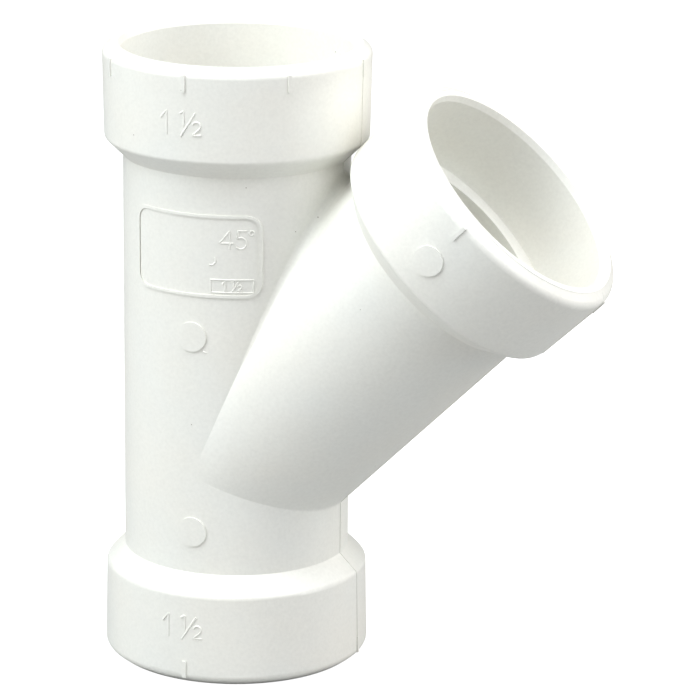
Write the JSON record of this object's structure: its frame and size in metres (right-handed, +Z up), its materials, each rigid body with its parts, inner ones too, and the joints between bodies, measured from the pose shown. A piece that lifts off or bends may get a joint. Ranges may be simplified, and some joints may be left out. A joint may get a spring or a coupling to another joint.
{
  "type": "pipe wye fitting",
  "caption": "Moulded plastic drainage wye: an upright run with a socket at each end and a branch leaning away at forty-five degrees to a socket of its own.",
  "frame": {"origin": "centre of the lower socket's mouth, in the plane of its rim, where the run stands", "axes": "+Z up along the run to the upper socket, +X to the side that the branch leans to, +Y to the back; the parting plane is XZ"},
  "size_m": [0.1094, 0.0578, 0.1318],
  "materials": {
    "pvc": "satin"
  },
  "bodies": {
    "root": {"wye_fitting": "pvc"}
  },
  "joints": []
}
